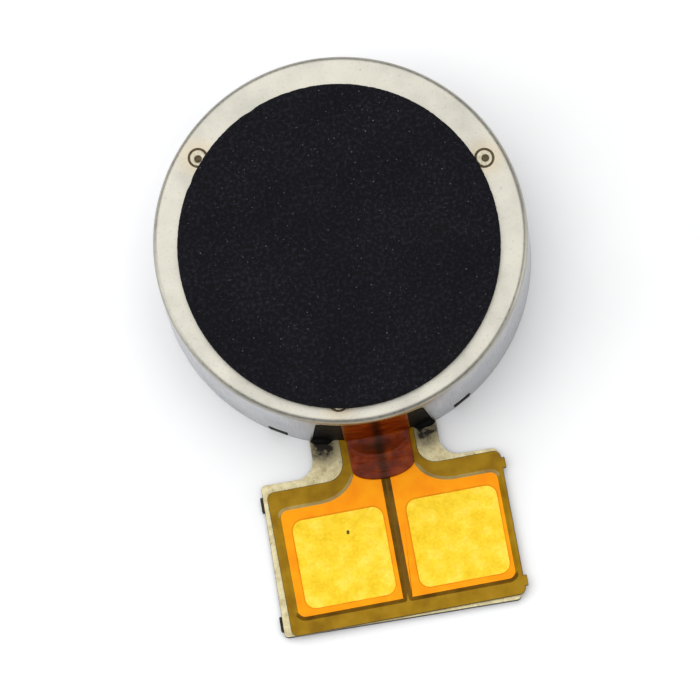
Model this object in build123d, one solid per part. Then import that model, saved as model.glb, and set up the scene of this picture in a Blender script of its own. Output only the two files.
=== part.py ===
from build123d import *
from math import cos, radians, sin
import os

# A linear resonant coin vibration motor: a steel can on a base plate, with a
# printed flex tail on a steel tab and a sprung magnet-and-weight mass inside.
# Millimetres. Origin: centre of the base plate's underside. +Z runs up through
# the roof, and the tail leaves towards -Y.

# Can
can_diameter = 10.0
can_height = 3.0
can_sheet = 0.2  # sheet thickness of the drawn can
can_corner = 0.22  # outer radius between roof and wall

# Base plate, neck and tab, one piece of sheet
plate_sheet = 0.2
plate_gap = 0.02  # radial play between the plate's disc and the can's bore
neck_width = 3.44
neck_gap = 0.03  # play between the neck and each side of the can's notch
neck_length = 0.73  # from the can's wall to the tab
tab_width = 6.4
tab_length = 4.17
tab_corner = 0.12
neck_fillet = 0.5
break_width = 0.4  # stubs left on the tab's -X edge where it was broken from its strip
break_length = 0.07
break_near = 0.52  # from the tab's near edge to the middle of one stub
break_far = 0.38  # from the tab's far edge to the middle of the other
lug_spread = 30.0  # degrees from the tail to each locating lug
lug_width = 0.5
lug_gap = 0.03  # play each side of a lug in its slot
lug_slot_height = 0.48

# Notch for the tail: it narrows towards the roof
notch_taper = 0.31  # how far each side leans in by the top
notch_corner = 0.2
notch_ledge = 0.08  # wall left standing between the notch and the roof

# Spot welds
weld_turn = 20.4  # degrees from +X to the first of three spring welds
weld_count = 3
weld_radius = 0.275
seam_weld_count = 3
seam_weld_radius = 0.16
seam_weld_depth = 0.1

# Foam pad and its tape, stuck on slightly off centre
foam_margin_x = 0.69  # bare roof beside the pad, if it were central
foam_margin_y = 0.60
foam_shift_x = -0.06
foam_shift_y = -0.21
foam_tape = 0.05
foam_thickness = 0.25
foam_tape_inset = 0.03

# Flex tail: layers from the plate up
flex_turn = 1.3  # degrees that the tail is turned about the can's axis
glue_film = 0.03
base_film = 0.03
copper = 0.03
cover_film = 0.03  # coverlay over the copper
pad_plating = 0.015

# Flex tail: outline
head_width = 6.36
head_length = 3.97
head_inset = 0.04  # from the tab's far edge to the head's
head_shift = -0.04  # the outline's shift across the tail
head_corner = 0.19
tail_width = 2.03
tail_fillet = 0.5
nib_width = 0.3  # stubs left where the tail was cut from its sheet
nib_length = 0.09
nib_inset = 0.36

# Flex tail: copper, pads and windows
trace_gap = 0.25  # between the two copper areas
trace_margin_side = 0.23  # from the copper to the head's edges
trace_margin_far = 0.47
trace_margin_near = 0.57
trace_throat_x = 0.95  # the curve between the wide copper and its neck
trace_throat_y = 0.70
trace_neck = 0.68
trace_corner = 0.25
pad_width = 2.45
pad_length = 2.42
pad_pitch = 3.096
pad_corner = 0.28
pad_offset = 0.125  # from the head's middle to the pads' middle, away from the can
pad_shift = 0.07  # how far the windows are out of register
land_width = 0.5
land_gap = 0.57  # from the coil to the middle of the solder lands
solder_radius = 0.23
solder_height = 0.11

# Coil on the flex's inner disc
coil_inner = 2.15
coil_outer = 2.75
coil_glue = 0.04
disc_margin = 0.2  # flex disc beyond the coil
wire_radius = 0.03
wire_lift = 0.01  # between a coil lead and the coverlay
lead_start = 0.23  # where the leads leave the coil, each side of the tail's middle

# Moving mass
stroke = 0.4  # each way
stop_gap = 0.05  # left over at the ends of the stroke
coil_gap = 0.15  # radial air gap on both sides of the coil
yoke_sheet = 0.2
yoke_corner = 0.15
yoke_hole = 0.3
pole_thickness = 0.2
magnet_edge = 0.06
mass_gap = 0.4  # between the weight and the can's bore
mass_chamfer = 0.35
relief_width = 2.2  # pocket under the mass that clears the solder
relief_depth = 0.2

# Leaf spring
spring_sheet = 0.12
ring_gap = 0.09  # between the spring's ring and the can's bore
ring_width = 0.6
hub_radius = 1.4
arm_count = 3
arm_width = 0.5
arm_sweep = 250.0  # degrees from an arm's root to its end
arm_overlap = 0.03  # how far an arm's ends run into the hub and the ring
arm_points = 7  # points of an arm's middle line
washer_radius = 1.2
washer_thickness = 0.13
hub_weld_radius = 0.14
hub_weld_height = 0.02  # how far the hub's welds stand proud of the washer
hub_weld_circle = 0.8

# Dampers
upper_damper_radius = 1.2
upper_damper_thickness = 0.06
lower_damper_inset = 0.1  # inside the weight's outer edge
lower_damper_thickness = 0.2
lower_damper_gap = 0.35  # from the damper to the flex's disc and tail

# Notch seal and resin drop
seal_gap = 0.05  # between the seal and the spring's ring
seal_inset = 0.05  # from the can's outer face
spill_radius = 0.3
spill_height = 0.22
drop_width = 1.7
drop_length = 1.1  # from the can's wall along the tail
drop_height = 0.26
skin_width = 1.8  # resin that climbs the middle of the seal
skin_thickness = 0.12
skin_inset = 0.03  # from the can's outer face

# Levels and radii that follow
can_radius = can_diameter / 2
bore_radius = can_radius - can_sheet
ceiling = can_height - can_sheet
plate_radius = bore_radius - plate_gap
tab_near = can_radius + neck_length
tab_far = tab_near + tab_length
notch_bottom_width = neck_width + 2 * neck_gap
notch_top_width = notch_bottom_width - 2 * notch_taper
notch_top = ceiling - notch_ledge
film_level = plate_sheet + glue_film
copper_level = film_level + base_film
pad_level = copper_level + copper
flex_top = pad_level + cover_film
coil_floor = flex_top + coil_glue
head_far = tab_far - head_inset
head_near = head_far - head_length
trace_far = head_far - trace_margin_far
trace_near = head_near + trace_margin_near
trace_outer = head_width / 2 - trace_margin_side
pad_reach = (head_near + head_far) / 2 + pad_offset
disc_radius = coil_outer + disc_margin
land_reach = coil_outer + land_gap
neck_middle = trace_gap / 2 + trace_neck / 2
pole_radius = coil_inner - coil_gap
skirt_inner = coil_outer + coil_gap
skirt_outer = skirt_inner + yoke_sheet
lower_stop = max(plate_sheet + lower_damper_thickness, pad_level + solder_height)
mass_floor = lower_stop + stop_gap + stroke
magnet_level = mass_floor + pole_thickness
weld_top = ceiling - upper_damper_thickness - stop_gap - stroke
washer_top = weld_top - hub_weld_height
hub_top = washer_top - washer_thickness
hub_level = hub_top - spring_sheet
roof_level = hub_level - yoke_sheet
coil_top = roof_level - stroke - stop_gap
mass_outer = bore_radius - mass_gap
ring_level = ceiling - spring_sheet
ring_outer = bore_radius - ring_gap
ring_inner = ring_outer - ring_width
ring_middle = (ring_inner + ring_outer) / 2
lower_damper_outer = mass_outer - lower_damper_inset
lower_damper_inner = disc_radius + lower_damper_gap
tail_direction = -90.0
touch = 0.001  # how near a point counts as being on a line


def disc(radius, bottom, top):
    """A plain disc about Z."""
    return Pos(0, 0, bottom) * extrude(Circle(radius), top - bottom)


def ring(outer, inner, bottom, top):
    """A plain ring about Z."""
    return Pos(0, 0, bottom) * extrude(Circle(outer) - Circle(inner), top - bottom)


def step_corners(outline, level, reach):
    """The inner corners where a strip of this half width meets a wider one at Y = level."""
    corners = outline.vertices()
    return [v for v in corners if abs(v.Y - level) < touch and abs(abs(v.X) - reach) < touch]


def layer(sketch, bottom, thickness):
    """A flat layer of one outline."""
    return Pos(0, 0, bottom) * extrude(sketch, thickness)


def turned(part, angle):
    """A part turned about the can's axis."""
    return Rot(0, 0, angle) * part


def spun(profile):
    """A solid of revolution from a profile drawn with X as radius and Y as height."""
    return revolve(Plane.XZ * profile, Axis.Z)


def on_tail(part):
    """A part of the flex, drawn along -Y, turned to where the tail lies."""
    return turned(part, flex_turn)


# Can


def spring_weld_places():
    """Where the roof is welded to the spring's ring."""
    step = 360 / weld_count
    return [Rot(0, 0, weld_turn + step * i) * Pos(ring_middle, 0, 0) for i in range(weld_count)]


def seam_weld_places():
    """Spots on the seam between the plate's disc and the can, clear of lugs and notch."""
    step = 360 / seam_weld_count
    return [Rot(0, 0, step * i - tail_direction) * Pos(bore_radius, 0, 0) for i in range(seam_weld_count)]


def make_spring_welds():
    """Laser welds down through the roof to the spring's ring."""
    spot = disc(weld_radius, ceiling, can_height)
    return Compound([place * spot for place in spring_weld_places()])


def make_seam_welds():
    """Spots on the underside that join the plate to the can."""
    spot = disc(seam_weld_radius, 0, seam_weld_depth)
    return Compound([place * spot for place in seam_weld_places()])


def notch_window():
    """The notch's outline as a solid that runs from the axis out through the wall."""
    outline = Polygon(
        (-notch_bottom_width / 2, 0),
        (notch_bottom_width / 2, 0),
        (notch_top_width / 2, notch_top),
        (-notch_top_width / 2, notch_top),
        align=None,
    )
    top_corners = outline.vertices().sort_by(Axis.Y)[-2:]
    outline = fillet(top_corners, notch_corner)
    return extrude(Plane.XZ * outline, can_diameter)


def lug_places():
    """The directions of the two locating lugs, either side of the tail."""
    return [Rot(0, 0, tail_direction + side * lug_spread) for side in (-1, 1)]


def make_case():
    """Drawn can, open below, with the tail's notch and two slots for the plate's lugs."""
    outside = disc(can_radius, 0, can_height)
    outside = fillet(outside.edges().sort_by(Axis.Z)[-1], can_corner)
    case = outside - disc(bore_radius, 0, ceiling) - notch_window()
    slot = Pos(can_radius, 0, lug_slot_height / 2) * Box(
        4 * can_sheet, lug_width + 2 * lug_gap, lug_slot_height
    )
    for place in lug_places():
        case -= place * slot
    return case - make_spring_welds() - make_seam_welds()


# Base plate


def make_base_plate():
    """Disc, neck and tab in one sheet, with lugs that locate the disc in the can."""
    tab = Pos(0, -(tab_near + tab_far) / 2) * RectangleRounded(tab_width, tab_length, tab_corner)
    neck = Pos(0, -tab_near / 2) * Rectangle(neck_width, tab_near)
    tail = fillet(step_corners(tab + neck, -tab_near, neck_width / 2), neck_fillet)
    outline = tail + Circle(plate_radius)
    for stub in (-tab_near - break_near, break_far - tab_far):
        outline += Pos(-tab_width / 2, stub) * Rectangle(2 * break_length, break_width)
    lug = Pos(can_radius / 2, 0) * Rectangle(can_diameter, lug_width) & Circle(can_radius)
    for place in lug_places():
        outline += place * (lug - Circle(plate_radius - lug_width))
    return layer(outline, 0, plate_sheet) - make_seam_welds()


# Flex tail


def flex_outline():
    """Head, tail and the round land under the coil."""
    head = Pos(0, -(head_near + head_far) / 2) * RectangleRounded(head_width, head_length, head_corner)
    tail = Pos(0, -head_near / 2) * Rectangle(tail_width, head_near)
    outline = fillet(step_corners(head + tail, -head_near, tail_width / 2), tail_fillet)
    for stub in (nib_inset - head_far, -head_near - nib_inset):
        outline += Pos(head_width / 2, stub) * Rectangle(2 * nib_length, nib_width)
    return Pos(head_shift, 0) * outline + Circle(disc_radius)


def trace_outline(side):
    """One copper area: a wide field under the pad, a curved throat and a neck to its land."""
    inner = trace_gap / 2
    neck_edge = inner + trace_neck
    throat_x = neck_edge + trace_throat_x
    throat_y = -trace_near + trace_throat_y
    field = make_face(
        Polyline((throat_x, -trace_near), (trace_outer, -trace_near), (trace_outer, -trace_far))
        + Polyline((trace_outer, -trace_far), (inner, -trace_far), (inner, -land_reach))
        + Polyline((inner, -land_reach), (neck_edge, -land_reach), (neck_edge, throat_y))
        + EllipticalCenterArc((throat_x, throat_y), trace_throat_x, trace_throat_y, 180, arc_size=90)
    )
    outer_corners = field.vertices().sort_by(Axis.X)[-2:]
    field = fillet(outer_corners, trace_corner)
    land = Pos(neck_middle, -land_reach) * Circle(trace_neck / 2)
    trace = field + land
    return trace if side > 0 else mirror(trace, Plane.YZ)


def pad_outline(side):
    """The window over one contact pad."""
    return Pos(pad_shift + side * pad_pitch / 2, -pad_reach) * RectangleRounded(
        pad_width, pad_length, pad_corner
    )


def land_place(side):
    """Middle of one solder land, on the copper."""
    return Pos(side * neck_middle, -land_reach, pad_level)


def make_trace(side):
    """Copper under the coverlay."""
    return on_tail(layer(trace_outline(side), copper_level, copper))


def make_pad(side):
    """Gold plating that fills the bottom of its window."""
    return on_tail(layer(pad_outline(side), pad_level, pad_plating))


def make_coverlay():
    """Top film: pockets for the copper, and windows over pads and lands."""
    film = layer(flex_outline(), copper_level, copper + cover_film)
    for side in (-1, 1):
        film -= layer(trace_outline(side), copper_level, copper)
        film -= layer(pad_outline(side), pad_level, cover_film)
        film -= land_place(side) * extrude(Rectangle(land_width, land_width), cover_film)
    return on_tail(film)


# Coil, leads and solder


def make_coil():
    """Self-bonded winding."""
    return ring(coil_outer, coil_inner, coil_floor, coil_top)


def lead_blank(side):
    """A coil lead from inside the winding to the middle of its land."""
    level = flex_top + wire_lift + wire_radius
    coil_side = coil_outer - wire_radius
    start = (side * lead_start, -coil_side, level + coil_glue)
    path = Line(start, (side * neck_middle, -land_reach, level))
    return sweep(Plane(origin=path @ 0, z_dir=path % 0) * Circle(wire_radius), path)


def make_lead(side):
    """The bare end of the coil's wire, laid over the coverlay up to the solder."""
    return on_tail(lead_blank(side) - make_coil() - solder_blank(side))


def solder_blank(side):
    """A low mound of solder on one land."""
    mound = Cone(solder_radius, solder_radius / 2, solder_height)
    return land_place(side) * Pos(0, 0, solder_height / 2) * mound


# Moving mass


def make_yoke():
    """Drawn cup that closes the magnetic circuit round the coil."""
    cup = disc(skirt_outer, mass_floor, hub_level)
    cup = chamfer(cup.edges().sort_by(Axis.Z)[-1], yoke_corner)
    return cup - disc(skirt_inner, mass_floor, roof_level) - disc(yoke_hole, mass_floor, hub_level)


def make_magnet():
    """Disc magnet under the yoke's roof."""
    magnet = disc(pole_radius, magnet_level, roof_level)
    return chamfer(magnet.edges(), magnet_edge)


def make_pole_plate():
    """Steel disc that turns the field outwards through the coil."""
    plate = disc(pole_radius, mass_floor, magnet_level)
    return chamfer(plate.edges().sort_by(Axis.Z)[0], magnet_edge)


def make_tungsten_mass():
    """Weight ring on the yoke's skirt, chamfered to clear the spring."""
    section = Polygon(
        (skirt_outer, mass_floor),
        (mass_outer, mass_floor),
        (mass_outer, hub_level - mass_chamfer),
        (mass_outer - mass_chamfer, hub_level),
        (skirt_outer, hub_level),
        align=None,
    )
    weight = spun(section)
    relief = Pos(0, -can_radius, mass_floor + relief_depth / 2) * Box(
        relief_width, 2 * can_radius, relief_depth
    )
    return weight - on_tail(relief)


def make_washer():
    """Washer over the spring's hub."""
    return ring(washer_radius, yoke_hole, hub_top, washer_top)


def hub_weld_places():
    """Where the washer, the spring's hub and the yoke are joined."""
    step = 360 / arm_count
    return [Rot(0, 0, step * (i + 0.5)) * Pos(hub_weld_circle, 0, 0) for i in range(arm_count)]


def make_hub_welds():
    """Nuggets that stand proud where washer, hub and yoke are welded together."""
    spot = disc(hub_weld_radius, washer_top, weld_top)
    return Compound([place * spot for place in hub_weld_places()])


# Leaf spring


def spring_dish():
    """The spring's form before its arms are cut: flat ring, cone and flat hub."""
    lower = [
        (yoke_hole, hub_level),
        (hub_radius, hub_level),
        (ring_inner, ring_level),
        (ring_outer, ring_level),
    ]
    upper = [(radius, level + spring_sheet) for radius, level in reversed(lower)]
    return spun(Polygon(*lower, *upper, align=None))


def arm_line():
    """Middle line of one arm: it leaves the hub and meets the ring along their own curves."""
    start_radius = hub_radius - arm_overlap - arm_width / 2
    end_radius = ring_inner + arm_overlap + arm_width / 2
    points = []
    for i in range(arm_points):
        share = i / (arm_points - 1)
        eased = share * share * (3 - 2 * share)
        radius = start_radius + (end_radius - start_radius) * eased
        angle = radians(weld_turn + arm_sweep * (share - 1))
        points.append((radius * cos(angle), radius * sin(angle)))
    return Spline(*points)


def make_leaf_spring():
    """Ring, hub and three spiral arms, cut out of the dish."""
    pattern = Circle(ring_outer) - Circle(ring_inner)
    pattern += Circle(hub_radius) - Circle(yoke_hole)
    arm = trace(arm_line(), arm_width)
    for i in range(arm_count):
        pattern += turned(arm, 360 / arm_count * i)
    pattern -= Circle(yoke_hole)
    return layer(pattern, hub_level, ceiling - hub_level) & spring_dish()


# Dampers


def make_lower_damper():
    """C-shaped rubber ring on the plate, open where the tail passes."""
    opening = Pos(0, -can_radius) * Rectangle(tail_width + 2 * lower_damper_gap, can_diameter)
    outline = Circle(lower_damper_outer) - Circle(lower_damper_inner) - turned(opening, flex_turn)
    return layer(outline, plate_sheet, lower_damper_thickness)


# Sealing


def tail_space():
    """The room that the flex takes up over the plate."""
    return on_tail(layer(flex_outline(), plate_sheet, flex_top - plate_sheet))


def make_notch_seal():
    """Black glue in the notch, with a small spill on the neck each side of the tail."""
    outer = can_radius - seal_inset
    wall = ring(outer, ring_outer + seal_gap, plate_sheet, notch_top)
    seal = wall & notch_window()
    side_gap = (neck_width + tail_width) / 4
    spill = Pos(0, 0, plate_sheet + spill_height / 2) * Cone(spill_radius, spill_radius / 2, spill_height)
    for side in (-1, 1):
        seal += Pos(side * side_gap, -outer) * spill
    above_plate = Pos(0, -can_radius, plate_sheet + can_height / 2) * Box(
        notch_bottom_width, can_diameter, can_height
    )
    return (seal & above_plate) - tail_space() - make_resin_drop() - make_case()


def make_resin_drop():
    """Resin over the tail: a drop, and a skin that climbs the middle of the seal."""
    outer = can_radius - skin_inset
    drop = scale(Sphere(1), by=(drop_width / 2, drop_length + skin_inset, drop_height))
    strip = Pos(0, -can_radius, can_height / 2) * Box(skin_width, can_diameter, can_height)
    skin = disc(outer, flex_top, notch_top) & strip
    resin = Pos(0, -outer, flex_top) * drop & Pos(0, 0, flex_top) * strip
    return on_tail(resin + skin) - disc(outer - skin_thickness, 0, can_height)


# Foam


def foam_disc(inset, bottom, thickness):
    """A die-cut disc on the roof, slightly off centre."""
    half_x = can_radius - foam_margin_x - inset
    half_y = can_radius - foam_margin_y - inset
    outline = Pos(foam_shift_x, foam_shift_y) * Ellipse(half_x, half_y)
    return layer(outline, bottom, thickness)


pieces = {
    "case": make_case(),
    "base_plate": make_base_plate(),
    "spring_welds": make_spring_welds(),
    "seam_welds": make_seam_welds(),
    "fpc_adhesive": on_tail(layer(flex_outline(), plate_sheet, glue_film)),
    "fpc_base_film": on_tail(layer(flex_outline(), film_level, base_film)),
    "copper_trace_left": make_trace(-1),
    "copper_trace_right": make_trace(1),
    "coverlay": make_coverlay(),
    "contact_pad_left": make_pad(-1),
    "contact_pad_right": make_pad(1),
    "solder_joint_left": on_tail(solder_blank(-1)),
    "solder_joint_right": on_tail(solder_blank(1)),
    "coil_adhesive": ring(coil_outer, coil_inner, flex_top, coil_floor),
    "voice_coil": make_coil(),
    "coil_lead_left": make_lead(-1),
    "coil_lead_right": make_lead(1),
    "lower_damper": make_lower_damper(),
    "upper_damper": disc(upper_damper_radius, ceiling - upper_damper_thickness, ceiling),
    "leaf_spring": make_leaf_spring(),
    "notch_seal": make_notch_seal(),
    "resin_drop": make_resin_drop(),
    "foam_pad_tape": foam_disc(foam_tape_inset, can_height, foam_tape),
    "foam_pad": foam_disc(0, can_height + foam_tape, foam_thickness),
    "yoke": make_yoke(),
    "magnet": make_magnet(),
    "pole_plate": make_pole_plate(),
    "tungsten_mass": make_tungsten_mass(),
    "hub_washer": make_washer(),
    "hub_welds": make_hub_welds(),
}

os.makedirs("parts", exist_ok=True)
for name, shape in pieces.items():
    export_step(shape, f"parts/{name}.step")
    print(f"{name}: {shape.volume:.4f} mm3")
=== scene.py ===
from math import hypot, pi, radians

import bmesh
import bpy
from mathutils import Matrix, Vector, noise


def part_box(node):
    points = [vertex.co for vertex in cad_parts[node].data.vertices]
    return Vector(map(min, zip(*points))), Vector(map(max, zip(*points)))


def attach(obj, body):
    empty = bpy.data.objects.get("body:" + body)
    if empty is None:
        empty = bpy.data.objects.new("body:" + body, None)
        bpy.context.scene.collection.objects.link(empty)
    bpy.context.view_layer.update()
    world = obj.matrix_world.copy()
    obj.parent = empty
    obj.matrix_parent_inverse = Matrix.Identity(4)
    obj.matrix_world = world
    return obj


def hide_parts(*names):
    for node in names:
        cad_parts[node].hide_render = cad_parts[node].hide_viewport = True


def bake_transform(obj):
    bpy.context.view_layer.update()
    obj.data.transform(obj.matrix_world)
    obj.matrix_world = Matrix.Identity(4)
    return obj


# A linear resonant coin vibration motor. Pieces are modelled in millimetres and
# turned to metres when they are finished. The can stands on z = 0, its roof
# faces +Z, and the flex tail leaves towards -Y.

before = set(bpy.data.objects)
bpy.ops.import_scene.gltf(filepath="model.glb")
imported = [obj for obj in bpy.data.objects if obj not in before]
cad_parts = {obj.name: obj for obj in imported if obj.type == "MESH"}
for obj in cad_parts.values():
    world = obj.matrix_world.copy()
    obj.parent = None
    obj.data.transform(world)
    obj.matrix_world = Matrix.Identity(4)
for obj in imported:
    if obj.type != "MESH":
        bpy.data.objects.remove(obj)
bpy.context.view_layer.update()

MM = 0.001


def box_mm(node):
    """Lowest and highest corner of a CAD node, in millimetres."""
    low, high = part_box(node)
    return low / MM, high / MM


# Sizes that the CAD parts hold
case_high = box_mm("case")[1]
can_radius = case_high.x
can_height = case_high.z
plate_top = box_mm("base_plate")[1].z
tab_far = -box_mm("base_plate")[0].y
film_low = box_mm("fpc_adhesive")[0].z
film_mid = box_mm("fpc_base_film")[0].z
film_high = box_mm("coverlay")[0].z
cover_top = box_mm("coverlay")[1].z
pad_low = box_mm("contact_pad_left")[0].z
pad_top = box_mm("contact_pad_left")[1].z
foam_low, foam_high = box_mm("foam_pad")

# Can
sheet = 0.2
can_corner = 0.16
inner_corner = 0.08
rim_corner = 0.03
round_steps = 240  # facets round the can
fine_steps = 64  # facets round a weld or a hole
merge_reach = 1e-5  # vertices nearer than this are one
level_play = 1e-4  # faces within this height lie at one level
edge_play = 0.01  # vertices within this distance lie on one edge
past = 0.1  # how far a cutter reaches past what it cuts

# Notch, locating lugs and their slots
neck_width = 3.44
notch_bottom = 3.5
notch_top = 2.88
notch_height = can_height - sheet - 0.08
notch_corner = 0.2
notch_below = 1.2  # how far the notch's cutter reaches below the plate's top
lug_spread = 30.0
lug_width = 0.5
slot_width = 0.56
slot_height = 0.48

# Base plate
plate_play = 0.02
tab_width = 6.4
tab_length = 4.17
tab_near = tab_far - tab_length
tab_corner = 0.12
neck_fillet = 0.5
neck_start = -3.0  # the neck's outline starts here, inside the disc
stub_length = 0.07
stub_width = 0.4
stub_near = 0.52
stub_far = 0.38
stub_corner = 0.03
stub_root = 0.005  # the sheet is divided this far inside its edge, so that the stubs' tops are torn
shear_round = 0.025
lug_reach = 0.51  # from the can's wall in to the middle of a lug's bar

# Roof welds
weld_turn = 20.4
weld_circle = 4.41
weld_radius = 0.275
weld_depth = 0.12
weld_dish = 0.022

# Seam welds on the underside
seam_radius = 0.16
seam_circle = 4.8
seam_depth = 0.1
seam_dish = 0.015

# Flex tail
flex_turn = 1.3
head_width = 6.36
head_length = 3.97
head_far = tab_far - 0.04
head_near = head_far - head_length
head_shift = -0.04
head_corner = 0.19
tail_width = 2.03
tail_fillet = 0.5
nib_length = 0.09
nib_width = 0.3
nib_inset = 0.36
nib_corner = 0.03
disc_radius = 2.95
tail_start = -2.4  # the tail's outline starts here, inside the disc
film_round = 0.015

# Copper under the coverlay, and the windows
trace_gap = 0.25
trace_neck = 0.68
trace_outer = head_width / 2 - 0.23
trace_far = head_far - 0.47
trace_near = head_near + 0.57
throat_x = 0.95
throat_y = 0.70
trace_corner = 0.2
trace_gap_corner = 0.08
trace_start = -3.3  # the copper fields start here, inside the can
pad_width = 2.45
pad_length = 2.42
pad_corner = 0.28
pad_lap = 0.02  # the pad runs this far under the window's edge
pad_foot = 0.01  # and this far into the copper
drape = 0.1  # how far the film's slope runs out round the copper
bare_drop = 0.045  # the film lies lower where there is no copper
window_band = 0.06
window_drop = 0.012
gap_middle = 0.2  # where the gap crosses the tab, turned with the tail
pit_place = (0.21, 0.66)  # the left pad's pinhole, from the pad's middle
pit_size = (0.06, 0.08, 0.05)
pit_rise = 0.035

# Resin and glue
drop_half = 0.85
drop_length = 1.1
drop_straight = 0.72
drop_height = 0.13
drop_inside = 0.2  # how far the drop runs in under the can's wall
drop_steps = 32  # facets round the oval that makes the drop's front
bank_size = (0.85, 0.5, 0.42)
bank_inside = 0.05
skin_under = 0.08
resin_inner = 0.06
skin_half = 0.9
skin_outer = can_radius - 0.03
seal_outer = can_radius - 0.06
seal_inner = can_radius - 0.24
spill_size = (0.34, 0.14, 0.1)
spill_second = (0.16, 0.14, 0.05)
spill_step = (0.1, 0.04)  # the second lump lies this far inward and forward of the first
glue_back = 0.02  # play between the glue and the notch's edge
glue_voxel = 0.025
resin_voxel = 0.022
melt_steps = 8

# Foam
foam_rings = 64
foam_steps = 360
foam_edge = 0.06
foam_lump = 0.012
foam_nick = 0.03
foam_rim = 0.3  # nicks are cut this near the edge
foam_draft = 0.01
lump_seed = 7.0
nick_seed = 3.0
bite_seed = 11.0


# Meshes


def rounded(bm, verts, radius, segments=6):
    """Rounds corners of a flat face to an arc."""
    bmesh.ops.bevel(
        bm,
        geom=verts,
        offset=radius,
        offset_type="OFFSET",
        segments=segments,
        profile=0.5,
        affect="VERTICES",
        clamp_overlap=False,
        material=-1,
    )


def outline(corners, level=0.0, upright=False):
    """A flat face with rounded corners, from (x, y, radius) for each corner."""
    bm = bmesh.new()
    verts = []
    for x, y, _ in corners:
        verts.append(bm.verts.new((x, 0, y) if upright else (x, y, level)))
    bm.faces.new(verts)
    for radius in sorted({r for _, _, r in corners if r > 0}):
        same = [v for v, corner in zip(verts, corners) if corner[2] == radius]
        rounded(bm, same, radius, 4 if radius < 0.1 else 8)
    return bm


def raised(bm, height):
    """A flat face drawn up into a closed solid."""
    top = bmesh.ops.extrude_face_region(bm, geom=list(bm.faces), use_keep_orig=True)
    moved = [g for g in top["geom"] if isinstance(g, bmesh.types.BMVert)]
    bmesh.ops.translate(bm, vec=(0, 0, height), verts=moved)
    bmesh.ops.recalc_face_normals(bm, faces=bm.faces)
    return bm


def spun(bm, steps=round_steps):
    """Turns a profile face that stands on XZ into a solid of revolution."""

    def on_axis(edge):
        return max(abs(v.co.x) for v in edge.verts) < 1e-6

    bmesh.ops.delete(bm, geom=list(bm.faces), context="FACES_ONLY")
    bmesh.ops.delete(bm, geom=[e for e in bm.edges if on_axis(e)], context="EDGES")
    bmesh.ops.spin(
        bm,
        geom=list(bm.edges) + list(bm.verts),
        cent=(0, 0, 0),
        axis=(0, 0, 1),
        angle=2 * pi,
        steps=steps,
        use_merge=True,
    )
    bmesh.ops.remove_doubles(bm, verts=bm.verts, dist=merge_reach)
    bmesh.ops.recalc_face_normals(bm, faces=bm.faces)
    return bm


def moved(bm, matrix):
    bmesh.ops.transform(bm, matrix=matrix, verts=bm.verts)
    return bm


def turn(degrees):
    return Matrix.Rotation(radians(degrees), 4, "Z")


def at(x, y, z=0.0):
    return Matrix.Translation((x, y, z))


def below(level):
    """A cutter for everything under a level."""
    return block(4 * can_radius, 4 * can_radius, 1, at(0, 0, level - 0.5))


def block(width, depth, height, place):
    """A plain cutter or lug, centred on its place."""
    bm = bmesh.new()
    bmesh.ops.create_cube(bm, size=1)
    return moved(bm, place @ Matrix.Diagonal((width, depth, height, 1)))


def drum(radius, low, high, place=Matrix.Identity(4), steps=64):
    """A plain round cutter or disc."""
    bm = bmesh.new()
    bmesh.ops.create_cone(
        bm, cap_ends=True, segments=steps, radius1=radius, radius2=radius, depth=high - low
    )
    return moved(bm, place @ at(0, 0, (low + high) / 2))


def temporary(bm):
    """A bmesh as a short-lived object; the bmesh is used up."""
    mesh = bpy.data.meshes.new("temporary")
    bm.to_mesh(mesh)
    bm.free()
    thing = bpy.data.objects.new("temporary", mesh)
    bpy.context.scene.collection.objects.link(thing)
    return thing


def applied(thing):
    """The bmesh of an object with its modifiers; the object is removed."""
    evaluated = thing.evaluated_get(bpy.context.evaluated_depsgraph_get())
    bm = bmesh.new()
    bm.from_mesh(evaluated.to_mesh())
    evaluated.to_mesh_clear()
    mesh = thing.data
    bpy.data.objects.remove(thing)
    bpy.data.meshes.remove(mesh)
    return bm


def combined(body, tools, operation):
    """Cuts (DIFFERENCE), joins (UNION) or trims (INTERSECT) one bmesh by others."""
    for tool in tools:
        thing, cutter = temporary(body), temporary(tool)
        modifier = thing.modifiers.new("boolean", "BOOLEAN")
        modifier.operation = operation
        modifier.solver = "EXACT"
        modifier.object = cutter
        body = applied(thing)
        mesh = cutter.data
        bpy.data.objects.remove(cutter)
        bpy.data.meshes.remove(mesh)
    bmesh.ops.remove_doubles(body, verts=body.verts, dist=merge_reach)
    bmesh.ops.dissolve_degenerate(body, edges=body.edges, dist=merge_reach)
    return body


def melted(body, voxel):
    """Runs the parts of a body together, as a liquid that has set."""
    thing = temporary(body)
    remesh = thing.modifiers.new("remesh", "REMESH")
    remesh.mode = "VOXEL"
    remesh.voxel_size = voxel
    smooth = thing.modifiers.new("smooth", "SMOOTH")
    smooth.factor = 0.5
    smooth.iterations = melt_steps
    return applied(thing)


def break_edges(bm, width, wanted):
    """Rounds the wanted edges that turn by more than 40 degrees."""
    sharp = [e for e in bm.edges if e.is_manifold and e.calc_face_angle() > radians(40) and wanted(e)]
    bmesh.ops.bevel(
        bm,
        geom=sharp,
        offset=width,
        offset_type="OFFSET",
        segments=2,
        profile=0.5,
        affect="EDGES",
        clamp_overlap=True,
        material=-1,
    )
    return bm


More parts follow.
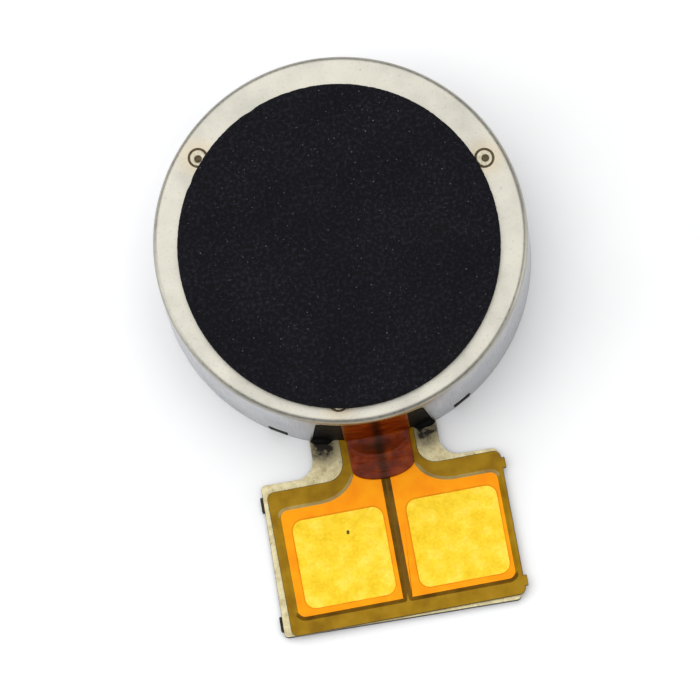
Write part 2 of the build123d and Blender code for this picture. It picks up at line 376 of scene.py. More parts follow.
def piece(name, bm, materials, body="housing", replaced=(), sharp=35):
    """A finished piece: metres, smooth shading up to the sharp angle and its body."""
    moved(bm, Matrix.Diagonal((MM, MM, MM, 1)))
    mesh = bpy.data.meshes.new(name)
    bm.to_mesh(mesh)
    bm.free()
    for material in materials:
        mesh.materials.append(material)
    mesh.shade_smooth()
    mesh.set_sharp_from_angle(angle=radians(sharp))
    thing = bpy.data.objects.new(name, mesh)
    bpy.context.scene.collection.objects.link(thing)
    weighted = thing.modifiers.new("weighted normals", "WEIGHTED_NORMAL")
    weighted.keep_sharp = True
    if body:
        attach(thing, body)
    if replaced:
        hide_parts(*replaced)
    return thing


def gathered(parts):
    """Several bmeshes as one."""
    joined = bmesh.new()
    for part in parts:
        mesh = bpy.data.meshes.new("temporary")
        part.to_mesh(mesh)
        part.free()
        joined.from_mesh(mesh)
        bpy.data.meshes.remove(mesh)
    return joined


def upright_slab(corners):
    """An outline that stands on XZ, drawn out from the axis past the can's wall."""
    bm = outline(corners, upright=True)
    back = bmesh.ops.extrude_face_region(bm, geom=list(bm.faces), use_keep_orig=True)
    verts = [g for g in back["geom"] if isinstance(g, bmesh.types.BMVert)]
    bmesh.ops.translate(bm, vec=(0, -2 * can_radius, 0), verts=verts)
    bmesh.ops.recalc_face_normals(bm, faces=bm.faces)
    return bm


def arc_slab(inner, outer, low, high):
    """A slab curved round the can's -Y side, over 50 degrees."""
    bm = outline([(inner, low, 0), (outer, low, 0), (outer, high, 0), (inner, high, 0)], upright=True)
    moved(bm, turn(-90 - 25))
    bmesh.ops.spin(
        bm,
        geom=list(bm.faces) + list(bm.edges) + list(bm.verts),
        cent=(0, 0, 0),
        axis=(0, 0, 1),
        angle=radians(50),
        steps=48,
    )
    bmesh.ops.remove_doubles(bm, verts=bm.verts, dist=merge_reach)
    bmesh.ops.recalc_face_normals(bm, faces=bm.faces)
    return bm


def ball(place, size):
    """An ellipsoid at a place, with its half sizes."""
    bm = bmesh.new()
    bmesh.ops.create_uvsphere(bm, u_segments=32, v_segments=16, radius=1)
    return moved(bm, at(*place) @ Matrix.Diagonal((*size, 1)))


def lumpy(spot, size, seed):
    """Smooth noise from -1 to 1 whose lumps are about this many millimetres."""
    return noise.noise(spot / size + Vector((seed, seed, seed)))


# Materials

NOISE = "ShaderNodeTexNoise"
CELLS = "ShaderNodeTexVoronoi"
RAMP = "ShaderNodeValToRGB"
RANGE = "ShaderNodeMapRange"
MATH = "ShaderNodeMath"
VECTORS = "ShaderNodeVectorMath"
TURN = "ShaderNodeVectorRotate"
SPLIT = "ShaderNodeSeparateXYZ"
MAPPING = "ShaderNodeMapping"
BUMP = "ShaderNodeBump"
MIX = "ShaderNodeMix"
SHARE, UNDER, OVER, MIXED = 0, 6, 7, 2  # sockets of a Mix node that mixes colours


def linear(code):
    """An sRGB hex colour as linear RGBA."""
    values = [int(code[i : i + 2], 16) / 255 for i in (1, 3, 5)]
    return [v / 12.92 if v <= 0.04045 else ((v + 0.055) / 1.055) ** 2.4 for v in values] + [1.0]


def per_mm(size):
    """Texture scale for a feature of this size in millimetres, on Object coordinates in metres."""
    return 1 / (size * MM)


def node(tree, kind, inputs, output=0, stops=(), **settings):
    """Adds a node and gives one of its outputs. An input takes a value, a hex colour or an output."""
    made = tree.nodes.new(kind)
    for name, value in settings.items():
        setattr(made, name, value)
    for name, value in inputs.items():
        if isinstance(value, bpy.types.NodeSocket):
            tree.links.new(value, made.inputs[name])
        else:
            made.inputs[name].default_value = linear(value) if isinstance(value, str) else value
    for index, (position, code) in enumerate(stops):
        band = made.color_ramp.elements
        if index == len(band):
            band.new(position)
        band[index].position = position
        band[index].color = linear(code)
    return made.outputs[output]


def surface(name, **constants):
    """A material whose shader has these values, its nodes, and its Object coordinates."""
    material = bpy.data.materials.new(name)
    material.use_nodes = True
    tree = material.node_tree
    for key, value in constants.items():
        tree.nodes["Principled BSDF"].inputs[key.replace("_", " ")].default_value = value
    return material, tree, node(tree, "ShaderNodeTexCoord", {}, "Object")


def dressed(material, **sources):
    """Links a finish's colour, roughness and normal to its shader."""
    tree = material.node_tree
    for key, source in sources.items():
        tree.links.new(source, tree.nodes["Principled BSDF"].inputs[key.replace("_", " ")])
    return material


def halo(tree, spot, place, reach):
    """1 at a place, falling smoothly to 0 at this many millimetres from it."""
    away = node(tree, VECTORS, {0: spot, 1: Vector(place) * MM}, "Value", operation="DISTANCE")
    levels = {"Value": away, "From Max": reach * MM, "To Min": 1.0, "To Max": 0.0}
    return node(tree, RANGE, levels, interpolation_type="SMOOTHSTEP")


def over_gap(tree, spot, inner, outer):
    """1 along the gap between the copper fields, 0 from the outer distance in millimetres."""
    turned = node(tree, TURN, {"Vector": spot, "Angle": radians(-flex_turn)}, rotation_type="Z_AXIS")
    across = node(tree, MATH, {0: node(tree, SPLIT, {"Vector": turned}, "X")}, operation="ABSOLUTE")
    levels = {"Value": across, "From Min": inner * MM, "From Max": outer * MM}
    return node(tree, RANGE, levels | {"To Min": 1.0, "To Max": 0.0})


def drawn_stainless():
    """Stainless steel, deep drawn and left matt: creamy and even, with grey clouds and a fine grain."""
    material, tree, spot = surface("drawn_stainless_matt", Metallic=1.0)
    clouds = node(tree, NOISE, {"Vector": spot, "Scale": per_mm(0.9), "Detail": 4.0})
    mottle = node(tree, NOISE, {"Vector": spot, "Scale": per_mm(0.1), "Detail": 3.0, "Roughness": 0.6})
    colour = node(tree, RAMP, {"Fac": clouds}, stops=[(0.3, "#A6A49A"), (0.5, "#B1AEA3"), (0.7, "#B7B4A8")])
    greys = [(0.28, "#DCDCDC"), (0.42, "#F8F8F8"), (0.6, "#FFFFFF")]
    specks = node(tree, RAMP, {"Fac": mottle}, stops=greys)
    layers = {SHARE: 1.0, UNDER: colour, OVER: specks}
    colour = node(tree, MIX, layers, MIXED, data_type="RGBA", blend_type="MULTIPLY")
    for place in weld_spots:
        heat = node(tree, MATH, {0: halo(tree, spot, place, 0.75), 1: 0.5}, operation="MULTIPLY")
        layers = {SHARE: heat, UNDER: colour, OVER: "#AC946A"}
        colour = node(tree, MIX, layers, MIXED, data_type="RGBA")
    levels = {"Value": mottle, "From Min": 0.3, "From Max": 0.7, "To Min": 0.32, "To Max": 0.48}
    roughness = node(tree, RANGE, levels)
    fine = node(tree, NOISE, {"Vector": spot, "Scale": per_mm(0.035)})
    normal = node(tree, BUMP, {"Height": fine, "Distance": 0.002 * MM, "Strength": 0.6})
    along = node(tree, MAPPING, {"Vector": spot, "Scale": (1, 0.06, 1), "Rotation": (0, 0, radians(24))})
    scratches = node(tree, NOISE, {"Vector": along, "Scale": per_mm(0.03)})
    rub = {"Height": scratches, "Distance": 0.0015 * MM, "Strength": 0.5, "Normal": normal}
    normal = node(tree, BUMP, rub)
    waves = node(tree, NOISE, {"Vector": spot, "Scale": per_mm(0.3)})
    swell = {"Height": waves, "Distance": 0.006 * MM, "Strength": 0.5, "Normal": normal}
    return dressed(material, Base_Color=colour, Roughness=roughness, Normal=node(tree, BUMP, swell))


def ironed_stainless():
    """The can's wall, ironed by the die: cooler and smoother than the roof, with upright draw lines."""
    material, tree, spot = surface("ironed_stainless_wall", Metallic=1.0)
    clouds = node(tree, NOISE, {"Vector": spot, "Scale": per_mm(1.1), "Detail": 3.0})
    colour = node(tree, RAMP, {"Fac": clouds}, stops=[(0.3, "#A8A9AE"), (0.5, "#B2B3B7"), (0.7, "#BABABD")])
    upright = node(tree, MAPPING, {"Vector": spot, "Scale": (1, 1, 0.04)})
    lines = node(tree, NOISE, {"Vector": upright, "Scale": per_mm(0.05)})
    levels = {"Value": lines, "From Min": 0.3, "From Max": 0.7, "To Min": 0.26, "To Max": 0.36}
    normal = node(tree, BUMP, {"Height": lines, "Distance": 0.0015 * MM, "Strength": 0.5})
    return dressed(material, Base_Color=colour, Roughness=node(tree, RANGE, levels), Normal=normal)


def plate_stainless():
    """Rolled stainless sheet: straw-coloured and finely pitted, with a haze of glue by the notch."""
    material, tree, spot = surface("rolled_stainless_sheet", Metallic=1.0)
    clouds = node(tree, NOISE, {"Vector": spot, "Scale": per_mm(0.22), "Detail": 5.0, "Roughness": 0.65})
    mottle = node(tree, NOISE, {"Vector": spot, "Scale": per_mm(0.06), "Detail": 3.0, "Roughness": 0.6})
    colour = node(tree, RAMP, {"Fac": clouds}, stops=[(0.3, "#A09470"), (0.5, "#BEB38E"), (0.7, "#CEC5A2")])
    pits = node(tree, RAMP, {"Fac": mottle}, stops=[(0.28, "#B8B6AE"), (0.42, "#F2F2F0"), (0.6, "#FFFFFF")])
    layers = {SHARE: 1.0, UNDER: colour, OVER: pits}
    colour = node(tree, MIX, layers, MIXED, data_type="RGBA", blend_type="MULTIPLY")
    levels = {"Value": clouds, "From Min": 0.35, "From Max": 0.65, "To Min": 0.5, "To Max": 1.6}
    broken = node(tree, RANGE, levels)
    for side in (-1, 1):
        haze = halo(tree, spot, (side * 1.4, -can_radius, plate_top), 0.62)
        haze = node(tree, MATH, {0: haze, 1: broken}, operation="MULTIPLY")
        layers = {SHARE: haze, UNDER: colour, OVER: "#2A2723"}
        colour = node(tree, MIX, layers, MIXED, data_type="RGBA")
    levels = {"Value": mottle, "From Min": 0.3, "From Max": 0.7, "To Min": 0.36, "To Max": 0.6}
    normal = node(tree, BUMP, {"Height": mottle, "Distance": 0.005 * MM, "Strength": 0.8})
    return dressed(material, Base_Color=colour, Roughness=node(tree, RANGE, levels), Normal=normal)


def sheared_edge_painted_shade():
    """The sheet's cut edge, torn across its thickness, painted near black: painted shade, as the sheared
    steel itself is grey.
    """
    material, tree, spot = surface("sheared_steel_edge_painted_shade", Metallic=0.5, Specular_IOR_Level=0.2)
    upright = node(tree, MAPPING, {"Vector": spot, "Scale": (1, 1, 0.15)})
    streaks = node(tree, NOISE, {"Vector": upright, "Scale": per_mm(0.05), "Detail": 3.0})
    colour = node(tree, RAMP, {"Fac": streaks}, stops=[(0.3, "#12110D"), (0.7, "#3A362C")])
    roughness = node(tree, RANGE, {"Value": streaks, "To Min": 0.4, "To Max": 0.65})
    normal = node(tree, BUMP, {"Height": streaks, "Distance": 0.006 * MM, "Strength": 0.8})
    return dressed(material, Base_Color=colour, Roughness=roughness, Normal=normal)


def cell_foam():
    """Black polyurethane foam: fine closed cells and clumps, with a few grey specks that are partly dust
    and partly painted glints of light.
    """
    material, tree, spot = surface("black_polyurethane_foam", IOR=1.5, Specular_IOR_Level=0.14)
    cells = node(tree, CELLS, {"Vector": spot, "Scale": per_mm(0.085)}, "Distance")
    clumps = node(tree, NOISE, {"Vector": spot, "Scale": per_mm(0.1), "Detail": 4.0, "Roughness": 0.6})
    clouds = node(tree, NOISE, {"Vector": spot, "Scale": per_mm(1.3)})
    grit = node(tree, NOISE, {"Vector": spot, "Scale": per_mm(0.05), "Detail": 0.0})
    black = node(tree, RAMP, {"Fac": clumps}, stops=[(0.3, "#060609"), (0.5, "#0F0F14"), (0.68, "#22222A")])
    tint = node(tree, RAMP, {"Fac": clouds}, stops=[(0.3, "#C8C8D8"), (0.7, "#FFFFFF")])
    # Sparse grey specks added to the colour: partly dust, partly painted glints.
    dust_and_glints = node(tree, RAMP, {"Fac": grit}, stops=[(0.8, "#000000"), (0.86, "#5A5A58")])
    layers = {SHARE: 1.0, UNDER: black, OVER: tint}
    colour = node(tree, MIX, layers, MIXED, data_type="RGBA", blend_type="MULTIPLY")
    layers = {SHARE: 1.0, UNDER: colour, OVER: dust_and_glints}
    colour = node(tree, MIX, layers, MIXED, data_type="RGBA", blend_type="ADD")
    roughness = node(tree, RANGE, {"Value": clumps, "To Min": 0.7, "To Max": 0.95})
    normal = node(tree, BUMP, {"Height": cells, "Distance": 0.02 * MM, "Strength": 0.8})
    heaps = {"Height": clumps, "Distance": 0.03 * MM, "Strength": 0.8, "Normal": normal}
    return dressed(material, Base_Color=colour, Roughness=roughness, Normal=node(tree, BUMP, heaps))


def cover_film(name, stops, gap=None):
    """Polyimide coverlay: amber film with a satin face, coloured by what lies under it; the slope copies
    carry painted light and painted shade, and a gap colour is painted shade along the groove between the
    copper fields.
    """
    material, tree, spot = surface(name, IOR=1.6, Specular_IOR_Level=0.06)
    clouds = node(tree, NOISE, {"Vector": spot, "Scale": per_mm(0.45), "Detail": 4.0})
    colour = node(tree, RAMP, {"Fac": clouds}, stops=stops)
    # The gap colour darkens the film along the groove between the copper fields: painted shade.
    if gap:
        along = node(tree, SPLIT, {"Vector": spot}, "Y")
        levels = {"Value": along, "From Min": -trace_far * MM, "From Max": (0.15 - trace_far) * MM}
        band = {0: over_gap(tree, spot, 0.06, 0.12), 1: node(tree, RANGE, levels)}
        layers = {SHARE: node(tree, MATH, band, operation="MULTIPLY"), UNDER: colour, OVER: gap}
        colour = node(tree, MIX, layers, MIXED, data_type="RGBA")
    satin = node(tree, NOISE, {"Vector": spot, "Scale": per_mm(0.05)})
    levels = {"Value": satin, "From Min": 0.3, "From Max": 0.7, "To Min": 0.34, "To Max": 0.5}
    waves = node(tree, NOISE, {"Vector": spot, "Scale": per_mm(0.6), "Detail": 1.0})
    normal = node(tree, BUMP, {"Height": waves, "Distance": 0.015 * MM, "Strength": 0.6})
    skin = {"Height": satin, "Distance": 0.002 * MM, "Strength": 0.5, "Normal": normal}
    normal = node(tree, BUMP, skin)
    return dressed(material, Base_Color=colour, Roughness=node(tree, RANGE, levels), Normal=normal)


def gold_plate():
    """Immersion gold on copper: bright yellow and matt, softly mottled where copper shows its swell."""
    material, tree, spot = surface("immersion_gold_plate", Metallic=1.0)
    clouds = node(tree, NOISE, {"Vector": spot, "Scale": per_mm(0.4), "Detail": 4.0})
    colour = node(tree, RAMP, {"Fac": clouds}, stops=[(0.3, "#D6B426"), (0.5, "#DEBE32"), (0.7, "#E4C84C")])
    mottle = node(tree, NOISE, {"Vector": spot, "Scale": per_mm(0.07), "Detail": 3.0})
    levels = {"Value": mottle, "From Min": 0.3, "From Max": 0.7, "To Min": 0.5, "To Max": 0.62}
    waves = node(tree, NOISE, {"Vector": spot, "Scale": per_mm(0.8)})
    normal = node(tree, BUMP, {"Height": waves, "Distance": 0.02 * MM, "Strength": 0.5})
    skin = {"Height": mottle, "Distance": 0.003 * MM, "Strength": 0.6, "Normal": normal}
    normal = node(tree, BUMP, skin)
    return dressed(material, Base_Color=colour, Roughness=node(tree, RANGE, levels), Normal=normal)


def cast_resin():
    """Epoxy resin: dark red-brown, a little clear, with the trace gap dim in it and a dark greenish band of
    painted shade in the crease where the bank meets the skin.
    """
    look = {"Roughness": 0.3, "Transmission_Weight": 0.15, "Specular_IOR_Level": 0.04}
    material, tree, spot = surface("red_brown_epoxy_resin", IOR=1.53, **look)
    clouds = node(tree, NOISE, {"Vector": spot, "Scale": per_mm(0.35), "Detail": 4.0})
    colour = node(tree, RAMP, {"Fac": clouds}, stops=[(0.3, "#5C1C01"), (0.5, "#7E2C02"), (0.7, "#9A4004")])
    line = node(tree, MATH, {0: over_gap(tree, spot, 0.05, 0.2), 1: 0.75}, operation="MULTIPLY")
    colour = node(tree, MIX, {SHARE: line, UNDER: colour, OVER: "#1C0E02"}, MIXED, data_type="RGBA")
    # Painted shade: a dark greenish band across the crease where the bank meets the skin, broken up by the
    # clouds.
    centred = {"Vector": spot, "Location": (0, 5.2 * MM, -0.5 * MM), "Scale": (0.4, 1.0, 1.0)}
    bank = halo(tree, node(tree, MAPPING, centred), (0, 0, 0), 0.3)
    levels = {"Value": clouds, "From Min": 0.35, "From Max": 0.65, "To Min": 0.6, "To Max": 1.3}
    crease_shade = node(tree, MATH, {0: bank, 1: node(tree, RANGE, levels)}, operation="MULTIPLY")
    colour = node(tree, MIX, {SHARE: crease_shade, UNDER: colour, OVER: "#16140A"}, MIXED, data_type="RGBA")
    across = node(tree, MAPPING, {"Vector": spot, "Scale": (1, 3, 3)})
    ripple = node(tree, NOISE, {"Vector": across, "Scale": per_mm(0.5)})
    normal = node(tree, BUMP, {"Height": ripple, "Distance": 0.03 * MM, "Strength": 0.7})
    return dressed(material, Base_Color=colour, Normal=normal)


def mottled(name, low, high, lump, metallic=0.0, rough=(0.4, 0.6), depth=0.003, **constants):
    """A finish whose colour, roughness and surface vary softly at one real lump size."""
    material, tree, spot = surface(name, Metallic=metallic, **constants)
    lumps = node(tree, NOISE, {"Vector": spot, "Scale": per_mm(lump), "Detail": 3.0})
    colour = node(tree, RAMP, {"Fac": lumps}, stops=[(0.3, low), (0.7, high)])
    levels = {"Value": lumps, "From Min": 0.3, "From Max": 0.7, "To Min": rough[0], "To Max": rough[1]}
    normal = node(tree, BUMP, {"Height": lumps, "Distance": depth * MM, "Strength": 0.7})
    return dressed(material, Base_Color=colour, Roughness=node(tree, RANGE, levels), Normal=normal)


weld_places = [turn(weld_turn + 120 * i) @ at(weld_circle, 0) for i in range(3)]
weld_spots = [(place @ at(0, 0, can_height)).translation for place in weld_places]
seam_places = [turn(90 + 120 * i) @ at(seam_circle, 0) for i in range(3)]

can_steel = drawn_stainless()
wall_steel = ironed_stainless()
plate_steel = plate_stainless()
cut_steel_painted_shade = sheared_edge_painted_shade()
# Oxide in a weld's groove and pit: straw to dark brown
weld_dark = mottled("oxidised_weld_steel", "#2E2519", "#5A4E3A", 0.05, metallic=0.8, rough=(0.35, 0.55))
# Remelted steel, the bright button inside the groove: pale and pebbled
weld_light = mottled(
    "remelted_weld_steel", "#8C846C", "#C2BCAA", 0.07, metallic=1.0, rough=(0.3, 0.5), depth=0.008
)
foam = cell_foam()
# Coverlay straight on the steel: olive brown, with painted shade along the groove between the copper fields
film_on_steel = cover_film(
    "polyimide_coverlay_on_steel", [(0.3, "#836003"), (0.5, "#957006"), (0.7, "#A17C14")], gap="#6E4E0A"
)
# Coverlay on copper: bright orange
film_on_copper = cover_film(
    "polyimide_coverlay_on_copper", [(0.3, "#F88E00"), (0.5, "#FC9800"), (0.7, "#FEA204")]
)
# Coverlay where it dips at a window's edge: a deeper orange, painted shade round the window
film_window_painted_shade = cover_film(
    "polyimide_coverlay_window_painted_shade", [(0.3, "#D87A00"), (0.5, "#E48600"), (0.7, "#EC9004")]
)
# Coverlay on the slopes that face -Y, away from the softbox, and along the groove between the copper
# fields: dark brown, painted shade
film_painted_shade = cover_film(
    "polyimide_coverlay_painted_shade", [(0.3, "#4C3404"), (0.5, "#664608"), (0.7, "#78540C")]
)
# Coverlay on the slopes that face +Y, toward the softbox: pale, painted light
film_painted_light = cover_film(
    "polyimide_coverlay_painted_light", [(0.3, "#8E7440"), (0.5, "#A08850"), (0.7, "#B09A5C")]
)
# Punched edge of the films: dark olive, painted shade on the upright cut faces
film_cut_painted_shade = mottled("cut_polyimide_edge_painted_shade", "#3A2E08", "#5A480E", 0.08, IOR=1.6, Specular_IOR_Level=0.2)
# Acrylic glue film under the flex and the coil: clear straw, satin
film_glue = mottled("acrylic_glue_film", "#A89440", "#BCA856", 0.2, rough=(0.35, 0.5), IOR=1.47)
gold = gold_plate()
# Bottom of a pinhole in the gold: dull and nearly black
tarnish = mottled(
    "tarnished_pinhole", "#4A400C", "#6A5A18", 0.02, rough=(0.5, 0.7), Specular_IOR_Level=0.2
)
resin = cast_resin()
# Black epoxy glue, cast by hand in the notch: satin and lumpy
black_glue = mottled(
    "black_epoxy_glue",
    "#030304",
    "#0C0C0E",
    0.12,
    rough=(0.5, 0.7),
    depth=0.02,
    IOR=1.53,
    Specular_IOR_Level=0.08,
)
# The foam's double-sided tape: black and dull at its cut edge
tape_black = mottled("black_acrylic_tape", "#120F0E", "#241D1B", 0.1, rough=(0.5, 0.7), IOR=1.47)
# Etched copper foil: pink-orange, with a fine tooth
copper = mottled("etched_copper_foil", "#B8622E", "#D98550", 0.1, metallic=1.0, rough=(0.3, 0.45))
# Reflowed tin solder: white and mirror bright
solder = mottled("reflowed_tin_solder", "#B9BABC", "#DADBDC", 0.12, metallic=1.0, rough=(0.15, 0.35))
# Enamelled copper wire, wound and bonded: red-brown, ribbed turn by turn
magnet_wire = mottled("bonded_enamelled_copper_wire", "#8A3A16", "#B45A26", 0.06, metallic=0.6, depth=0.01)
# Moulded silicone rubber of the dampers: black and dull
rubber = mottled("black_silicone_rubber", "#0B0B0C", "#1A1A1B", 0.1, rough=(0.6, 0.8), IOR=1.43)
# Rolled spring steel: smooth and pale grey
spring_steel = mottled(
    "rolled_spring_steel", "#B0AFAC", "#BDBCB9", 0.1, metallic=1.0, rough=(0.25, 0.35), depth=0.0005
)
# Nickel plate on the yoke, pole plate and washer: warm white and bright
yoke_steel = mottled(
    "nickel_plated_soft_steel", "#B0ACA2", "#BEBAB0", 0.1, metallic=1.0, rough=(0.18, 0.3), depth=0.0005
)
# Nickel plate on the magnet: darker and glossier than the yoke's
magnet_skin = mottled(
    "nickel_plated_neodymium", "#A4A29E", "#B2B0AC", 0.08, metallic=1.0, rough=(0.12, 0.25), depth=0.0005
)
# Sintered tungsten alloy of the weight ring: grey and granular
tungsten = mottled("sintered_tungsten_alloy", "#56565A", "#75757A", 0.05, metallic=1.0, rough=(0.45, 0.6))


# Can and its welds


def notch_corners(inset):
    """The notch's outline, this much smaller at the top and sides."""
    bottom, top = notch_bottom / 2 - inset, notch_top / 2 - inset
    high = notch_height - inset
    return [
        (-bottom, plate_top - notch_below, 0),
        (bottom, plate_top - notch_below, 0),
        (top, high, notch_corner),
        (-top, high, notch_corner),
    ]


def make_case():
    """Drawn can: spun wall and roof, then its notch, lug slots and weld holes."""
    bore = can_radius - sheet
    body = spun(
        outline(
            [
                (0, can_height, 0),
                (0, can_height - sheet, 0),
                (bore, can_height - sheet, inner_corner),
                (bore, 0, rim_corner),
                (can_radius, 0, rim_corner),
                (can_radius, can_height, can_corner),
            ],
            upright=True,
        )
    )
    tools = [upright_slab(notch_corners(0))]
    for side in (-1, 1):
        place = turn(-90 + side * lug_spread) @ at(can_radius, 0, (slot_height - past) / 2)
        tools.append(block(1, slot_width, slot_height + past, place))
    for place in weld_places:
        tools.append(drum(weld_radius, can_height - weld_depth, can_height + past, place))
    for place in seam_places:
        tools.append(drum(seam_radius, -past, seam_depth, place))
    body = combined(body, tools, "DIFFERENCE")
    for face in body.faces:
        face.material_index = 1 if face.calc_center_median().z < can_height - can_corner else 0
    return piece("case_can", body, [can_steel, wall_steel], replaced=["case"])


def weld_spot(radius, depth, dish):
    """A spot weld with its face at Z = 0: a groove round a low button with a pit off its centre."""
    bm = outline(
        [
            (0, -depth, 0),
            (radius, -depth, 0),
            (radius, -0.01, 0),
            (0.88 * radius, -dish, 0),
            (0.76 * radius, -0.1 * dish, 0),
            (0.55 * radius, 0, 0),
            (0.38 * radius, -0.7 * dish, 0),
            (0, -1.3 * dish, 0),
        ],
        upright=True,
    )
    spun(bm, fine_steps)
    for face in bm.faces:
        middle = face.calc_center_median()
        share = hypot(middle.x, middle.y) / radius
        face.material_index = 0 if 0.38 < share < 0.8 else 1
    pit = [v for v in bm.verts if v.co.z > -0.9 * depth and v.co.xy.length < 0.45 * radius]
    bmesh.ops.translate(bm, vec=(0.08 * radius, 0.05 * radius, 0), verts=pit)
    return bm


def make_welds():
    """Three welds in the roof, and three on the seam underneath."""
    roof = []
    for index, place in enumerate(weld_places):
        spot = weld_spot(weld_radius, weld_depth, weld_dish)
        roof.append(moved(spot, place @ at(0, 0, can_height) @ turn(150 * index - 60)))
    over = Matrix.Rotation(pi, 4, "X")
    seam = [moved(weld_spot(seam_radius, seam_depth, seam_dish), place @ over) for place in seam_places]
    for name, spots, stood_for in (
        ("roof_weld_spots", roof, "spring_welds"),
        ("seam_weld_spots", seam, "seam_welds"),
    ):
        finishes = [weld_light, weld_dark]
        piece(name, gathered(spots), finishes, replaced=[stood_for], sharp=60)


# Base plate


def make_base_plate():
    """Disc, neck, tab, stubs and lugs, punched from one sheet."""
    half, neck = tab_width / 2, neck_width / 2
    near_edge, far_edge = -tab_near, -tab_far
    corners = [
        (neck, neck_start, 0),
        (neck, near_edge, neck_fillet),
        (half, near_edge, tab_corner),
        (half, far_edge, tab_corner),
        (-half, far_edge, tab_corner),
    ]
    for middle in (far_edge + stub_far, near_edge - stub_near):
        low, high = middle - stub_width / 2, middle + stub_width / 2
        corners += [
            (-half, low, 0),
            (-half - stub_length, low, stub_corner),
            (-half - stub_length, high, stub_corner),
            (-half, high, 0),
        ]
    corners += [
        (-half, near_edge, tab_corner),
        (-neck, near_edge, neck_fillet),
        (-neck, neck_start, 0),
    ]
    tail = raised(outline(corners), plate_top)
    disc = drum(can_radius - sheet - plate_play, 0, plate_top, steps=round_steps)
    lugs = []
    for side in (-1, 1):
        place = turn(-90 + side * lug_spread) @ at(can_radius - lug_reach, 0, plate_top / 2)
        lugs.append(block(1, lug_width, plate_top, place))
    body = combined(disc, [tail] + lugs, "UNION")
    pockets = [drum(seam_radius, -past, seam_depth, place) for place in seam_places]
    body = combined(body, pockets, "DIFFERENCE")
    everything = list(body.verts) + list(body.edges) + list(body.faces)
    bmesh.ops.bisect_plane(body, geom=everything, plane_co=(stub_root - half, 0, 0), plane_no=(1, 0, 0))
    # The upright cut faces and the lugs in their slots take the dark edge finish: painted shade. The stubs
    # take it too, for their torn tops, so there it is partly torn steel and partly painted shade.
    for face in body.faces:
        spot = face.calc_center_median()
        stub = spot.x < -half and spot.y < near_edge
        lug = spot.xy.length > can_radius - sheet and abs(spot.x) > neck
        face.material_index = 1 if abs(face.normal.z) < 0.5 or stub or lug else 0
    break_edges(body, shear_round, wanted=lambda e: abs(e.verts[0].co.z - e.verts[1].co.z) < level_play)
    finishes = [plate_steel, cut_steel_painted_shade]
    return piece("base_plate_sheet", body, finishes, replaced=["base_plate"])


# Flex tail


def flex_outline(level):
    """Head with its stubs, tail and fillets, as one flat face."""
    half, tail = head_width / 2, tail_width / 2
    near_edge, far_edge = -head_near, -head_far
    corners = [(tail, tail_start, 0), (tail, near_edge, tail_fillet), (half, near_edge, head_corner)]
    for middle in (near_edge - nib_inset, far_edge + nib_inset):
        low, high = middle - nib_width / 2, middle + nib_width / 2
        corners += [
            (half, high, 0),
            (half + nib_length, high, nib_corner),
            (half + nib_length, low, nib_corner),
            (half, low, 0),
        ]
    corners += [
        (half, far_edge, head_corner),
        (-half, far_edge, head_corner),
        (-half, near_edge, head_corner),
        (-tail, near_edge, tail_fillet),
        (-tail, tail_start, 0),
    ]
    return moved(outline(corners, level), at(head_shift, 0))


def flex_layer(low, high):
    """A layer of the flex's whole outline, turned to where the tail lies."""
    tail = raised(flex_outline(low), high - low)
    body = combined(drum(disc_radius, low, high, steps=128), [tail], "UNION")
    return moved(body, turn(flex_turn))


def trace_outline(side, level, grow=0.0):
    """One copper field with its neck and its oval throat, grown by this much."""
    inner = trace_gap / 2 - grow
    edge = trace_gap / 2 + trace_neck + grow
    outer = trace_outer + grow
    near_edge, far_edge = -trace_near + grow, -trace_far - grow
    bm = outline(
        [
            (edge, trace_start, 0),
            (edge, near_edge, 0),
            (outer, near_edge, trace_corner + grow),
            (outer, far_edge, trace_corner + grow),
            (inner, far_edge, trace_gap_corner),
            (inner, trace_start, 0),
        ],
        level,
    )
    throat = min(bm.verts, key=lambda v: hypot(v.co.x - edge, v.co.y - near_edge))
    stretch = Matrix.Diagonal((1, throat_x / throat_y, 1, 1))
    moved(bm, stretch)
    rounded(bm, [throat], throat_x, 16)
    moved(bm, stretch.inverted())
    if side < 0:
        moved(bm, Matrix.Diagonal((-1, 1, 1, 1)))
        bmesh.ops.reverse_faces(bm, faces=bm.faces)
    return bm


def pad_middle(side):
    """Middle of a contact pad, from its CAD box."""
    low, high = box_mm("contact_pad_right" if side > 0 else "contact_pad_left")
    return (low + high) / 2


def pad_outline(side, level, grow=0.0):
    """A window or pad: a square with rounded corners, turned with the tail."""
    half_x, half_y = pad_width / 2 + grow, pad_length / 2 + grow
    signs = ((1, -1), (1, 1), (-1, 1), (-1, -1))
    bm = outline([(sx * half_x, sy * half_y, pad_corner + grow) for sx, sy in signs], level)
    middle = pad_middle(side)
    return moved(bm, at(middle.x, middle.y) @ turn(flex_turn))


def off_window(spot, middle):
    """Distance outward from the edge of a pad's window."""
    away = turn(-flex_turn) @ (spot - middle)
    x = abs(away.x) - pad_width / 2 + pad_corner
    y = abs(away.y) - pad_length / 2 + pad_corner
    return hypot(max(x, 0), max(y, 0)) + min(max(x, y), 0) - pad_corner


